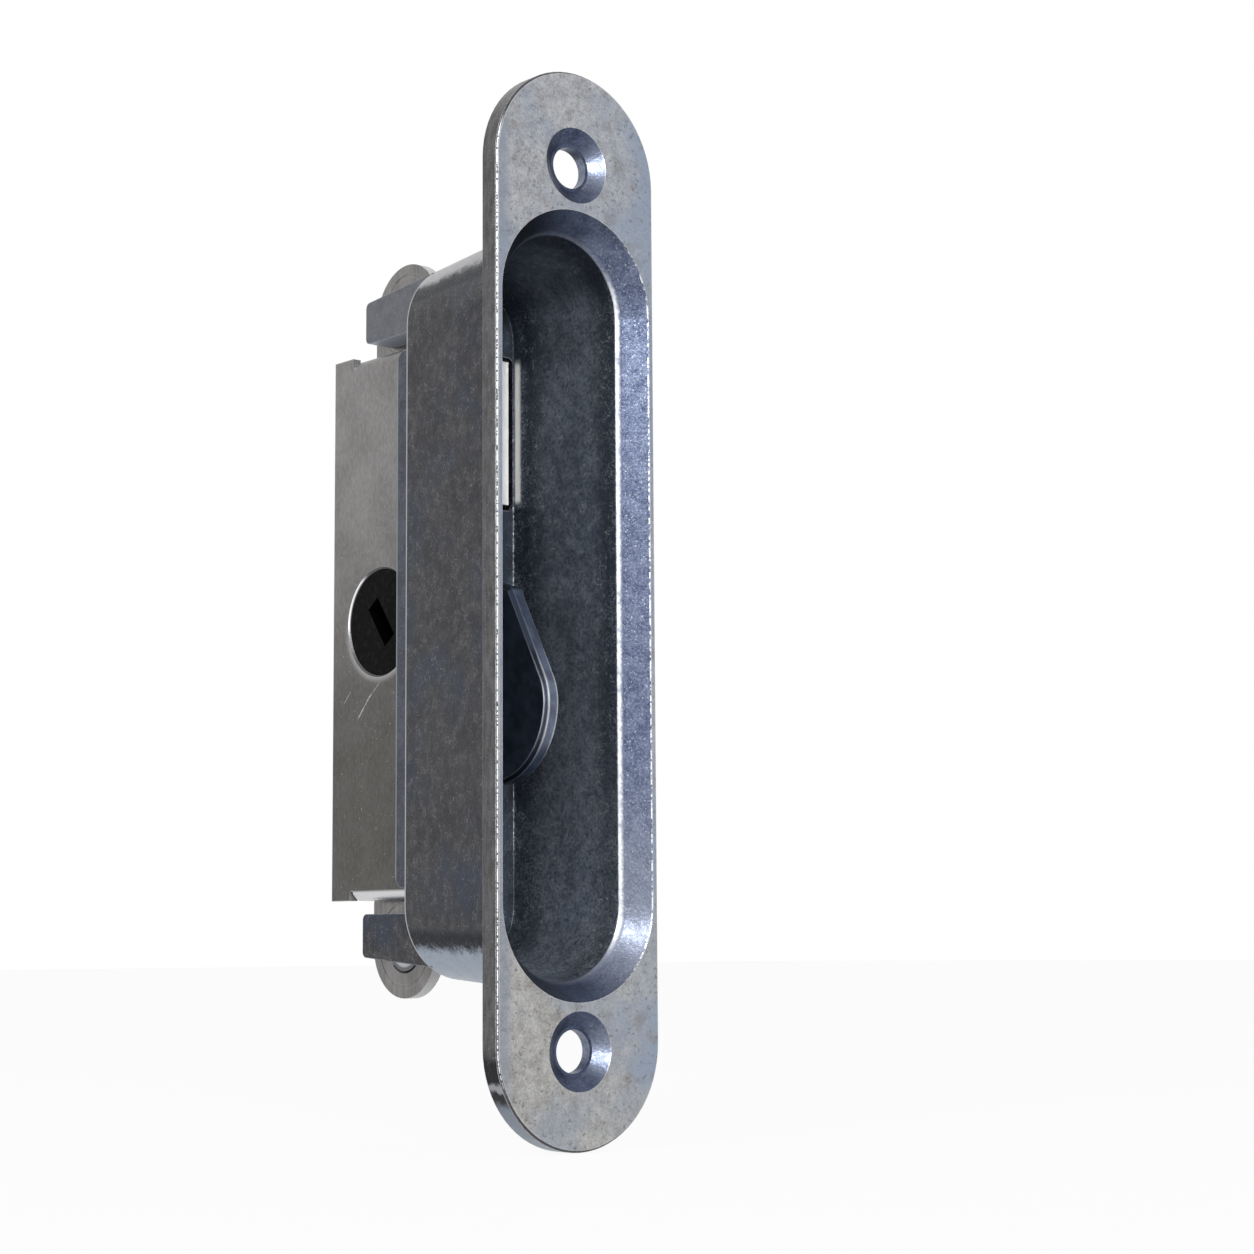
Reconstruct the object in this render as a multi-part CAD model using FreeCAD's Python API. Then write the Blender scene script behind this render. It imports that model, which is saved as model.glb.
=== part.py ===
import FreeCAD, Part
import math
import os

# Sliding door mortise lock, in millimetres.
# X runs across the faceplate, Y runs into the door's edge, Z runs up. Depths along Y are
# measured here from the faceplate's front. The stored pieces have their origin at the centre
# of the faceplate's back, which seats on the door's edge. The hook turns about an axis along X.

# Faceplate
plate_width = 25.4
plate_length = 133.35
plate_thickness = 2.8
plate_edge_chamfer = 0.3
screw_head_radius = 4.86
screw_web = 0.94
screw_cone_depth = 1.42
screw_cone_inner_radius = 3.0
screw_hole_radius = 2.62

# Cup behind the faceplate
rim_width = 0.85
bevel_width = 2.5
bevel_depth = 3.7
floor_depth = 21.5
floor_thickness = 2.0
floor_inset = 2.4
shoulder_inset = 0.95
outer_taper = 1.7
cup_back_chamfer = 0.35

# Lock case, two folded sheet shells
case_width = 12.7
case_height = 72.2
case_depth = 19.75
left_sheet = 1.2
right_sheet = 1.6
bend_inner_radius = 0.35
seat_gap = 0.05
flange_length = 15.1
top_fold_drop = 0.35
relief_width = 0.5
relief_depth = 1.2
tab_length = 19.1
tab_inset = 1.7
tab_reach = 1.75
slot_gap = 0.5
slot_foot_gap = 0.85

# Cheeks on the cup that hold the front of the case
cheek_thickness = 1.2
cheek_depth = 3.85
cheek_inset = 1.35
cheek_round = 1.7
cheek_gap = 0.1

# Lugs and ears that join the case to the cup
ear_face_x = -1.4
ear_rear_inset = 9.45
ear_rise = 5.8
ear_overhang = 4.8
ear_radius = 6.85
ear_hole_radius = 3.4
ear_hole_chamfer = 0.25
ear_groove_radius = 5.1
ear_groove_width = 0.5
ear_groove_depth = 0.08
lug_thickness = 4.1
lug_past_ear = 3.6
lug_below_ear = 4.05
lug_above_ear = 1.5
lug_draft = 1.3
lug_round = 0.8
stud_gap = 0.06
stud_reach = 1.3
nut_thickness = 0.4
nut_radius = 5.3
nut_offset = 0.05
nut_slits = 4
nut_slit_width = 0.7
nut_slit_reach = 1.1

# Hub with the tailpiece slot
hub_radius = 6.88
hub_along = 9.2
hub_recess = 0.2
running_gap = 0.07
rim_chamfer = 0.25
hub_core_radius = 5.4
hub_collar_radius = 8.1
tailpiece_length = 6.4
tailpiece_width = 2.5
tailpiece_angle = 54.0
key_height = 1.2
key_width = 3.0
key_gap = 0.05

# Hook bolt. Its reaches are measured forward from the hub's axis.
hook_thickness = 2.4
hook_boss_radius = 8.65
hook_top_reach = 20.55
hook_top_z = 2.8
hook_top_round = 1.0
nose_reach = 17.85
nose_z = -11.9
nose_radius = 10.05
nose_start_z = -10.2
nose_start_round = 7.0
tip_reach = 17.55
tip_round = 1.2
beak_root_reach = 13.55
beak_root_z = -11.8
beak_root_round = 2.0
nose_chamfer = 0.5
hook_side_gap = 0.5
sweep_gap = 0.9
slot_top_z = 8.6
throw_angle = 55.0
stop_gap = 0.12

# Cam, spacer and washers beside the hook
cam_thickness = 2.0
cam_radius = 8.6
cam_arm_reach = 11.0
cam_arm_angle = 50.0
cam_arm_radius = 1.6
stack_gap = 0.05
washer_thickness = 0.5
washer_radius = 8.5
drive_pin_radius = 0.8
drive_pin_circle = 7.3
drive_pin_angle = 150.0
pin_fit = 0.02

# Toggle spring, a bent steel strip, and the stud that holds its end on the cam
spring_strip = 0.5
spring_width = 1.1
spring_bend_radius = 2.6
spring_bend_reach = 6.15
spring_bend_drop = 9.9
spring_side_gap = 0.2
spring_loop_gap = 0.06
spring_loop_turn = 300.0
spring_stud_radius = 0.8
spring_stud_reach = 1.5

# Posts between the two shells
post_radius = 1.6
post_shank_radius = 1.1
stop_radius = 1.5
upper_post_along = 9.95
upper_post_inset = 6.6
lower_rear_post_inset = 4.4
lower_rear_post_rise = 3.8
lower_front_post_along = 2.3
lower_front_post_rise = 3.6
thrown_stop_along = 14.4
retracted_stop_along = 3.0
post_end_gap = 0.05

# Sizes that follow from the ones above
mouth_half = plate_width / 2 - rim_width
lip_half = mouth_half - bevel_width
floor_half = lip_half - floor_inset
shoulder_half = mouth_half - shoulder_inset
cup_back_half = shoulder_half - outer_taper
cup_back = floor_depth + floor_thickness
case_half_width = case_width / 2
case_half_height = case_height / 2
case_front = cup_back + seat_gap
case_rear = case_front + case_depth
tab_top = case_half_height - tab_inset
tab_bottom = tab_top - tab_length
cheek_half_height = case_half_height - cheek_inset
ear_y = case_rear - ear_rear_inset
ear_z = case_half_height + ear_rise
lug_back = ear_y + lug_past_ear
lug_inner_z = ear_z - lug_below_ear
lug_outer_z = ear_z + lug_above_ear
straight_half = ear_z - ear_overhang
screw_z = straight_half + mouth_half + screw_web + screw_head_radius
left_inner_x = -case_half_width + left_sheet
right_inner_x = case_half_width - right_sheet
ear_far_x = ear_face_x + right_sheet
stud_radius = ear_hole_radius - stud_gap
hub_y = case_front + hub_along
hub_hole_radius = hub_radius + running_gap
core_hole_radius = hub_core_radius + running_gap
hook_half = hook_thickness / 2
hook_top_y = hub_y - hook_top_reach
nose_y = hub_y - nose_reach
tip_y = hub_y - tip_reach
beak_root_y = hub_y - beak_root_reach
cam_right_x = -hook_half - stack_gap
cam_left_x = cam_right_x - cam_thickness
collar_left_x = left_inner_x + washer_thickness + 2 * stack_gap
collar_right_x = cam_left_x - stack_gap
cam_arm_y = hub_y + cam_arm_reach * math.cos(math.radians(cam_arm_angle))
cam_arm_z = cam_arm_reach * math.sin(math.radians(cam_arm_angle))
upper_post_y = case_front + upper_post_along
upper_post_z = case_half_height - upper_post_inset
lower_rear_post_y = case_rear - lower_rear_post_inset
lower_rear_post_z = lower_rear_post_rise - case_half_height
lower_front_post_y = case_front + lower_front_post_along
lower_front_post_z = lower_front_post_rise - case_half_height
spring_bend_y = hub_y - spring_bend_reach
spring_bend_z = upper_post_z - spring_bend_drop


def point(x, y, z):
    return FreeCAD.Vector(x, y, z)


def block(x0, x1, y0, y1, z0, z1):
    return Part.makeBox(x1 - x0, y1 - y0, z1 - z0, point(x0, y0, z0))


def rod_x(radius, x0, x1, y, z):
    return Part.makeCylinder(radius, x1 - x0, point(x0, y, z), point(1, 0, 0))


def ring_x(inner, outer, x0, x1, y, z):
    return rod_x(outer, x0, x1, y, z).cut(rod_x(inner, x0 - 1, x1 + 1, y, z))


def obround_wire(half_width, straight, y):
    # A slot-shaped outline in the plane at depth y, with round ends up and down.
    top_left = point(-half_width, y, straight)
    top_right = point(half_width, y, straight)
    low_left = point(-half_width, y, -straight)
    low_right = point(half_width, y, -straight)
    top = Part.Arc(top_left, point(0, y, straight + half_width), top_right)
    low = Part.Arc(low_right, point(0, y, -straight - half_width), low_left)
    right = Part.LineSegment(top_right, low_right)
    left = Part.LineSegment(low_left, top_left)
    return Part.Wire([edge.toShape() for edge in (top, right, low, left)])


def obround_loft(half_front, half_back, y_front, y_back):
    front = obround_wire(half_front, straight_half, y_front)
    back = obround_wire(half_back, straight_half, y_back)
    return Part.makeLoft([front, back], True, True)


def outline_x(points, x0, x1):
    # A solid from a closed outline of (y, z) corners, from x0 to x1.
    corners = [point(x0, y, z) for y, z in points]
    face = Part.Face(Part.makePolygon(corners + corners[:1]))
    return face.extrude(point(x1 - x0, 0, 0))


def edges_along(shape, axis, keep):
    # The straight edges that run along one axis, and whose centre passes the test.
    found = []
    for edge in shape.Edges:
        if edge.Curve.TypeId != "Part::GeomLine":
            continue
        direction = edge.Curve.Direction
        if abs(getattr(direction, axis)) < 0.999:
            continue
        if keep(edge.CenterOfMass):
            found.append(edge)
    return found


def near(value, target):
    return abs(value - target) < 0.02


def screw_hole(z):
    cone = Part.makeCone(screw_head_radius, screw_cone_inner_radius, screw_cone_depth,
                         point(0, 0, z), point(0, 1, 0))
    throat = Part.makeCylinder(screw_hole_radius, plate_thickness + 2, point(0, -1, z),
                               point(0, 1, 0))
    return cone.fuse(throat)


def faceplate():
    plate_half = plate_width / 2
    straight = plate_length / 2 - plate_half
    outline = obround_wire(plate_half, straight, 0)
    plate = Part.Face(outline).extrude(point(0, plate_thickness, 0))
    edges = [edge for edge in plate.Edges if near(edge.BoundBox.YMax, 0)]
    return plate.makeChamfer(plate_edge_chamfer, edges)


def lug(side):
    # A square lug on the back of the cup. Its outer face spreads towards the cup.
    x1 = ear_face_x
    x0 = x1 - lug_thickness
    base = cup_back - floor_thickness / 2
    corners = [(base, side * lug_inner_z), (lug_back, side * lug_inner_z),
               (lug_back, side * lug_outer_z), (base, side * (lug_outer_z + lug_draft))]
    body = outline_x(corners, x0, x1)
    rear = edges_along(body, "x", lambda c: near(c.y, lug_back))
    body = body.makeFillet(lug_round, rear)
    stud = rod_x(stud_radius, ear_face_x, ear_far_x + stud_reach, ear_y, side * ear_z)
    return body.fuse(stud)


def cheek(side):
    inner = case_half_width + cheek_gap
    outer = inner + cheek_thickness
    x0 = min(side * inner, side * outer)
    x1 = max(side * inner, side * outer)
    back = cup_back + cheek_depth
    rail = block(x0, x1, cup_back, back, -cheek_half_height, cheek_half_height)
    rear = edges_along(rail, "x", lambda c: near(c.y, back))
    return rail.makeFillet(cheek_round, rear)


def hook_reach():
    # The furthest that the hook's nose gets from the hub's axis.
    return math.hypot(hub_y - nose_y, nose_z) + nose_radius


def hook_slot():
    half = hook_half + hook_side_gap
    drop = math.sqrt(hook_reach() ** 2 - (hub_y - cup_back) ** 2) + sweep_gap
    cut = block(-half, half, floor_depth - floor_inset, cup_back + 1, -drop, slot_top_z)
    corners = edges_along(cut, "y", lambda c: True)
    return cut.makeFillet(half * 0.6, corners)


def tab_slot(side):
    inner = min(right_inner_x, -left_inner_x) - slot_gap
    outer = case_half_width + slot_gap
    x0 = min(side * inner, side * outer)
    x1 = max(side * inner, side * outer)
    cut = block(x0, x1, floor_depth - tab_reach, cup_back + 1,
                tab_bottom - slot_foot_gap, tab_top + slot_gap)
    corners = edges_along(cut, "y", lambda c: True)
    return cut.makeFillet(slot_gap * 1.6, corners)


def faceplate_casting():
    body = faceplate()
    shell = obround_loft(shoulder_half, cup_back_half, plate_thickness / 2, cup_back)
    back = [edge for edge in shell.Edges
            if near(edge.BoundBox.YLength, 0) and near(edge.CenterOfMass.y, cup_back)]
    shell = shell.makeChamfer(cup_back_chamfer, back)
    body = body.fuse(shell)
    for side in (1, -1):
        body = body.fuse(cheek(side))
        body = body.fuse(lug(side))
    body = body.cut(obround_loft(mouth_half, lip_half, 0, bevel_depth))
    body = body.cut(obround_loft(lip_half, floor_half, bevel_depth, floor_depth))
    body = body.cut(hook_slot())
    for side in (1, -1):
        body = body.cut(tab_slot(side))
        body = body.cut(screw_hole(side * screw_z))
    return body.removeSplitter()


def hub_hole(radius, outer_x, inward):
    hole = rod_x(radius, outer_x - 3, outer_x + 3, hub_y, 0)
    rim = Part.makeCone(radius + rim_chamfer, radius, rim_chamfer,
                        point(outer_x, hub_y, 0), point(inward, 0, 0))
    return hole.fuse(rim)


def channel(closed_x, open_x, sheet, y0, y1, top_z):
    # A sheet folded into a channel: a side plate with a flange at its top and its foot.
    inward = 1 if open_x > closed_x else -1
    wall_x = closed_x + inward * sheet
    foot_z = -case_half_height
    outer = block(min(closed_x, open_x), max(closed_x, open_x), y0, y1, foot_z, top_z)
    folds = edges_along(outer, "y", lambda c: near(c.x, closed_x))
    outer = outer.makeFillet(sheet + bend_inner_radius, folds)
    past_x = open_x + inward
    inner = block(min(wall_x, past_x), max(wall_x, past_x), y0 - 1, y1 + 1,
                  foot_z + sheet, top_z - sheet)
    folds = edges_along(inner, "y", lambda c: near(c.x, wall_x))
    inner = inner.makeFillet(bend_inner_radius, folds)
    return outer.cut(inner)


def case_left_shell():
    x0 = -case_half_width
    flange_rear = case_front + flange_length
    body = channel(x0, ear_face_x - 2 * seat_gap, left_sheet, case_front, flange_rear,
                   case_half_height - top_fold_drop)
    # Behind the relief notches the plate stays flat up to the corners.
    low_z = case_half_height - relief_depth
    body = body.fuse(block(x0, left_inner_x, flange_rear, case_rear, -low_z, low_z))
    body = body.fuse(block(x0, left_inner_x, flange_rear + relief_width, case_rear,
                           -case_half_height, case_half_height))
    body = body.fuse(block(x0, left_inner_x, case_front - tab_reach, case_front,
                           tab_bottom, tab_top))
    return body.removeSplitter().cut(hub_hole(hub_hole_radius, x0, 1))


def ear(side):
    # The flange folds on outwards into a tongue with a round end and a hole.
    z_root = case_half_height - right_sheet
    fold = right_sheet + bend_inner_radius
    y0 = ear_y - ear_radius
    y1 = ear_y + ear_radius
    body = block(ear_face_x, ear_face_x + fold + 1, y0, y1, z_root, ear_z)
    corner = edges_along(body, "y", lambda c: near(c.x, ear_face_x) and near(c.z, z_root))
    body = body.makeFillet(fold, corner)
    away = block(ear_far_x, ear_far_x + fold + 1, y0 - 1, y1 + 1, case_half_height, ear_z + 1)
    corner = edges_along(away, "y", lambda c: near(c.x, ear_far_x) and near(c.z, case_half_height))
    away = away.makeFillet(bend_inner_radius, corner)
    body = body.cut(away)
    body = body.fuse(rod_x(ear_radius, ear_face_x, ear_far_x, ear_y, ear_z).common(
        block(ear_face_x, ear_far_x, y0, y1, ear_z, ear_z + ear_radius)))
    body = body.cut(ear_cuts())
    if side < 0:
        body = body.mirror(point(0, 0, 0), point(0, 0, 1))
    return body


def ear_cuts():
    hole = rod_x(ear_hole_radius, ear_face_x - 1, ear_far_x + 1, ear_y, ear_z)
    chamfer = Part.makeCone(ear_hole_radius + ear_hole_chamfer, ear_hole_radius, ear_hole_chamfer,
                            point(ear_face_x, ear_y, ear_z), point(1, 0, 0))
    groove = ring_x(ear_groove_radius, ear_groove_radius + ear_groove_width,
                    ear_face_x, ear_face_x + ear_groove_depth, ear_y, ear_z)
    return hole.fuse(chamfer).fuse(groove)


def turned(y, z, degrees):
    # A point after the lock has turned about the hub's axis.
    angle = math.atan2(z, y - hub_y) + math.radians(degrees)
    reach = math.hypot(y - hub_y, z)
    return hub_y + reach * math.cos(angle), reach * math.sin(angle)


def beside(start, end, along, away):
    # A point some way along a line, then off it to the line's left.
    run = math.hypot(end[0] - start[0], end[1] - start[1])
    step_y = (end[0] - start[0]) / run
    step_z = (end[1] - start[1]) / run
    return (start[0] + along * step_y - away * step_z, start[1] + along * step_z + away * step_y)


def stop_places():
    # One stop meets the hook's top edge when thrown, the other its underside when drawn in.
    away = stop_radius + stop_gap
    top = (hook_top_y, hook_top_z)
    thrown = beside(top, neck_touch(top, 1), thrown_stop_along, away)
    root = (beak_root_y, beak_root_z)
    under = neck_touch(root, -1)
    retracted = beside(turned(*root, throw_angle), turned(*under, throw_angle),
                       retracted_stop_along, -away)
    return thrown, retracted


def post_places():
    thrown, retracted = stop_places()
    return {
        "case_post_upper": (upper_post_y, upper_post_z, post_radius),
        "case_post_lower_rear": (lower_rear_post_y, lower_rear_post_z, post_radius),
        "case_post_lower_front": (lower_front_post_y, lower_front_post_z, post_radius),
        "stop_post_thrown": (thrown[0], thrown[1], stop_radius),
        "stop_post_retracted": (retracted[0], retracted[1], stop_radius),
    }


def case_right_shell():
    x1 = case_half_width
    ear_rear = ear_y + ear_radius
    wall_half = case_half_height - right_sheet
    fold = right_sheet + bend_inner_radius
    body = channel(x1, ear_face_x, right_sheet, case_front, ear_rear, case_half_height)
    body = body.cut(block(ear_face_x - 1, ear_face_x + fold, ear_y - ear_radius, ear_rear + 1,
                          -case_half_height - 1, case_half_height + 1))
    low_z = case_half_height - relief_depth
    body = body.fuse(block(right_inner_x, x1, ear_rear, case_rear, -low_z, low_z))
    body = body.fuse(block(right_inner_x, x1, ear_rear + relief_width, case_rear,
                           -case_half_height, case_half_height))
    body = body.fuse(block(left_inner_x + seat_gap, x1, case_rear - right_sheet, case_rear,
                           -wall_half, wall_half))
    body = body.fuse(block(right_inner_x, x1, case_front - tab_reach, case_front,
                           tab_bottom, tab_top))
    for side in (1, -1):
        body = body.fuse(ear(side))
    body = body.removeSplitter()
    for y, z, _ in post_places().values():
        body = body.cut(rod_x(post_shank_radius + pin_fit, right_inner_x - 1, x1 + 1, y, z))
    return body.cut(hub_hole(core_hole_radius, x1, -1))


def keys(extra, x0, x1):
    # Two keys, one each side of the hub's core, that turn the hook and the cam.
    half = key_width / 2 + extra
    reach = hub_core_radius + key_height + extra
    return block(x0, x1, hub_y - half, hub_y + half, -reach, reach)


def cylinder_hub():
    half = case_half_width - hub_recess
    body = rod_x(hub_core_radius, -half, half, hub_y, 0)
    body = body.fuse(rod_x(hub_radius, -half, collar_left_x, hub_y, 0))
    body = body.fuse(rod_x(hub_collar_radius, collar_left_x, collar_right_x, hub_y, 0))
    body = body.fuse(keys(0, collar_right_x, hook_half))
    slot = block(-half - 1, half + 1, hub_y - tailpiece_length / 2, hub_y + tailpiece_length / 2,
                 -tailpiece_width / 2, tailpiece_width / 2)
    slot.rotate(point(0, hub_y, 0), point(1, 0, 0), tailpiece_angle)
    return body.removeSplitter().cut(slot)


def keyed_bore(x0, x1):
    round_bore = rod_x(core_hole_radius, x0 - 1, x1 + 1, hub_y, 0)
    return round_bore.fuse(keys(key_gap, x0 - 1, x1 + 1))


def drive_pin_places():
    places = []
    for turn in (0, 180):
        angle = math.radians(drive_pin_angle + turn)
        places.append((hub_y + drive_pin_circle * math.cos(angle),
                       drive_pin_circle * math.sin(angle)))
    return places


def tangent_end(place, radius, centre, turn):
    # Where a line from a place touches a circle, on the side that turn gives.
    base = math.atan2(place[1] - centre[1], place[0] - centre[0])
    reach = math.hypot(place[0] - centre[0], place[1] - centre[1])
    angle = base + turn * math.acos(radius / reach)
    return centre[0] + radius * math.cos(angle), centre[1] + radius * math.sin(angle)


def neck_touch(place, side):
    # Where an edge of the hook's neck runs into its round boss.
    return tangent_end(place, hook_boss_radius, (hub_y, 0), -side)


def nose_point(z):
    # A point of the nose's arc on its front side.
    return nose_y - math.sqrt(nose_radius ** 2 - (z - nose_z) ** 2), z


def hook_lobe():
    # The hook from its top corner, down round the nose and the tip, back to the boss.
    tip_z = nose_z - math.sqrt(nose_radius ** 2 - (tip_y - nose_y) ** 2)
    top = (hook_top_y, hook_top_z)
    root = (beak_root_y, beak_root_z)
    ring = [(hub_y, 0), neck_touch(top, 1), top, nose_point(nose_start_z)]
    back = [(tip_y, tip_z), root, neck_touch(root, -1), (hub_y, 0)]
    mid = nose_point((nose_start_z + tip_z) / 2)
    edges = [Part.LineSegment(point(0, *a), point(0, *b)) for a, b in zip(ring, ring[1:])]
    edges.append(Part.Arc(point(0, *ring[-1]), point(0, *mid), point(0, *back[0])))
    edges += [Part.LineSegment(point(0, *a), point(0, *b)) for a, b in zip(back, back[1:])]
    wire = Part.Wire([edge.toShape() for edge in edges])
    lobe = Part.Face(wire).extrude(point(hook_thickness, 0, 0))
    lobe.translate(point(-hook_half, 0, 0))
    rounds = ((top, hook_top_round), (nose_point(nose_start_z), nose_start_round),
              ((tip_y, tip_z), tip_round), (root, beak_root_round))
    for place, radius in rounds:
        corner = edges_along(lobe, "x", lambda c: near(c.y, place[0]) and near(c.z, place[1]))
        lobe = lobe.makeFillet(radius, corner)
    return lobe


def hook_bolt():
    lobe = hook_lobe()
    nose = [edge for edge in lobe.Edges if edge.Curve.TypeId == "Part::GeomCircle"
            and near(edge.Curve.Radius, nose_radius)]
    lobe = lobe.makeChamfer(nose_chamfer, nose)
    body = lobe.fuse(rod_x(hook_boss_radius, -hook_half, hook_half, hub_y, 0))
    body = body.cut(keyed_bore(-hook_half, hook_half))
    for y, z in drive_pin_places():
        body = body.cut(rod_x(drive_pin_radius + pin_fit, -hook_half - 1, hook_half + 1, y, z))
    return body.removeSplitter()


def hub_cam():
    # A disc with one arm. A stud in the arm holds the end of the toggle spring.
    body = rod_x(cam_radius, cam_left_x, cam_right_x, hub_y, 0)
    arm = block(cam_left_x, cam_right_x, hub_y, hub_y + cam_arm_reach,
                -cam_arm_radius, cam_arm_radius)
    arm = arm.fuse(rod_x(cam_arm_radius, cam_left_x, cam_right_x, hub_y + cam_arm_reach, 0))
    arm.rotate(point(0, hub_y, 0), point(1, 0, 0), cam_arm_angle)
    body = body.fuse(arm).cut(keyed_bore(cam_left_x, cam_right_x))
    body = body.cut(rod_x(spring_stud_radius + pin_fit, cam_left_x - 1, cam_right_x + 1,
                          cam_arm_y, cam_arm_z))
    for y, z in drive_pin_places():
        body = body.cut(rod_x(drive_pin_radius + pin_fit, cam_left_x - 1, cam_right_x + 1, y, z))
    return body.removeSplitter()


def drive_pin(index):
    y, z = drive_pin_places()[index]
    return rod_x(drive_pin_radius, cam_left_x, hook_half, y, z)


def spring_stud():
    return rod_x(spring_stud_radius, cam_left_x - spring_stud_reach, cam_right_x,
                 cam_arm_y, cam_arm_z)


def hub_washer_left():
    x0 = left_inner_x + stack_gap
    return ring_x(hub_hole_radius, washer_radius, x0, x0 + washer_thickness, hub_y, 0)


def hub_washer_right():
    x1 = right_inner_x - stack_gap
    return ring_x(core_hole_radius, washer_radius, x1 - washer_thickness, x1, hub_y, 0)


def hub_spacer():
    x1 = right_inner_x - washer_thickness - 2 * stack_gap
    return ring_x(core_hole_radius, washer_radius, hook_half + stack_gap, x1, hub_y, 0)


def strip_arc(centre, radius, first, turn):
    # A bent stretch of the spring's strip, from an angle round a centre.
    x0 = cam_left_x - spring_side_gap - spring_width
    y0 = centre[0] + radius - spring_strip / 2
    corners = [point(x0, y0, centre[1]), point(x0 + spring_width, y0, centre[1]),
               point(x0 + spring_width, y0 + spring_strip, centre[1]),
               point(x0, y0 + spring_strip, centre[1])]
    face = Part.Face(Part.makePolygon(corners + corners[:1]))
    axis_place = point(0, centre[0], centre[1])
    body = face.revolve(axis_place, point(1, 0, 0), turn)
    body.rotate(axis_place, point(1, 0, 0), first)
    return body


def strip_leg(start, end):
    x0 = cam_left_x - spring_side_gap - spring_width
    run = math.hypot(end[0] - start[0], end[1] - start[1])
    heading = math.degrees(math.atan2(end[1] - start[1], end[0] - start[0]))
    body = block(x0, x0 + spring_width, start[0], start[0] + run,
                 start[1] - spring_strip / 2, start[1] + spring_strip / 2)
    body.rotate(point(0, start[0], start[1]), point(1, 0, 0), heading)
    return body


def leg_heading(start, start_radius, end, end_radius):
    # The heading, in degrees, of the line that leaves one bend and runs on to the next,
    # where both bends turn to the right.
    run = math.hypot(end[0] - start[0], end[1] - start[1])
    heading = math.atan2(end[1] - start[1], end[0] - start[0])
    return math.degrees(heading + math.asin((end_radius - start_radius) / run))


def on_circle(centre, radius, degrees):
    angle = math.radians(degrees)
    return centre[0] + radius * math.cos(angle), centre[1] + radius * math.sin(angle)


def toggle_spring():
    # A hairpin of strip: a loop round the cam's stud, one bend, a loop round the upper post.
    stud = (cam_arm_y, cam_arm_z)
    bend = (spring_bend_y, spring_bend_z)
    anchor = (upper_post_y, upper_post_z)
    stud_loop = spring_stud_radius + spring_loop_gap + spring_strip / 2
    anchor_loop = post_radius + spring_loop_gap + spring_strip / 2
    inward = leg_heading(stud, stud_loop, bend, spring_bend_radius)
    outward = leg_heading(bend, spring_bend_radius, anchor, anchor_loop)
    body = strip_arc(stud, stud_loop, inward + 90, spring_loop_turn)
    body = body.fuse(strip_leg(on_circle(stud, stud_loop, inward + 90),
                               on_circle(bend, spring_bend_radius, inward + 90)))
    body = body.fuse(strip_arc(bend, spring_bend_radius, outward + 90, inward - outward))
    body = body.fuse(strip_leg(on_circle(bend, spring_bend_radius, outward + 90),
                               on_circle(anchor, anchor_loop, outward + 90)))
    body = body.fuse(strip_arc(anchor, anchor_loop, outward + 90 - spring_loop_turn,
                               spring_loop_turn))
    return body.removeSplitter()


def post(y, z, radius):
    body = rod_x(radius, left_inner_x + post_end_gap, right_inner_x, y, z)
    return body.fuse(rod_x(post_shank_radius, right_inner_x, case_half_width, y, z))


def push_nut(side):
    # A thin spring-steel nut with slits, pressed over the stud behind the ear.
    x0 = ear_far_x + nut_offset
    z = side * ear_z
    body = ring_x(stud_radius + pin_fit, nut_radius, x0, x0 + nut_thickness, ear_y, z)
    for index in range(nut_slits):
        slit = block(x0 - 1, x0 + nut_thickness + 1, ear_y, ear_y + stud_radius + nut_slit_reach,
                     z - nut_slit_width / 2, z + nut_slit_width / 2)
        slit.rotate(point(x0, ear_y, z), point(1, 0, 0), (index + 0.5) * 360 / nut_slits)
        body = body.cut(slit)
    return body


def nodes():
    parts = {
        "faceplate_casting": faceplate_casting(),
        "case_left_shell": case_left_shell(),
        "case_right_shell": case_right_shell(),
        "cylinder_hub": cylinder_hub(),
        "hook_bolt": hook_bolt(),
        "hub_cam": hub_cam(),
        "hub_spacer": hub_spacer(),
        "hub_washer_left": hub_washer_left(),
        "hub_washer_right": hub_washer_right(),
        "drive_pin_rear": drive_pin(1),
        "drive_pin_front": drive_pin(0),
        "spring_stud": spring_stud(),
        "toggle_spring": toggle_spring(),
        "upper_push_nut": push_nut(1),
        "lower_push_nut": push_nut(-1),
    }
    for name, place in post_places().items():
        parts[name] = post(*place)
    return parts


os.makedirs("parts", exist_ok=True)
for name, shape in nodes().items():
    shape.translate(point(0, -plate_thickness, 0))
    shape.exportStep("parts/" + name + ".step")
    print(name, len(shape.Solids), round(shape.Volume, 1), shape.isValid())
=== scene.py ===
import bmesh
import bpy
from mathutils import Matrix, Vector


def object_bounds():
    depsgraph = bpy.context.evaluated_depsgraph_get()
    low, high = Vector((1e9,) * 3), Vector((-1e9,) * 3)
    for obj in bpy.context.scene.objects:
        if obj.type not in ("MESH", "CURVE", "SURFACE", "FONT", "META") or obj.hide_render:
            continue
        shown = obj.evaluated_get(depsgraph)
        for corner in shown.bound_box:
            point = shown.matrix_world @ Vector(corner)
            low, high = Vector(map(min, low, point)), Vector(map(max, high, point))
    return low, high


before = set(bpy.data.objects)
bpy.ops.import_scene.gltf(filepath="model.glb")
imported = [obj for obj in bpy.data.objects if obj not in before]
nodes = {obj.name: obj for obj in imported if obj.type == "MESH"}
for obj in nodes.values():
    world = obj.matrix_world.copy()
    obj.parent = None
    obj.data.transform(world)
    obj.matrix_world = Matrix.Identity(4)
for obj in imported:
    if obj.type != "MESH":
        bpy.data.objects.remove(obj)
cad_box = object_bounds()


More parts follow.
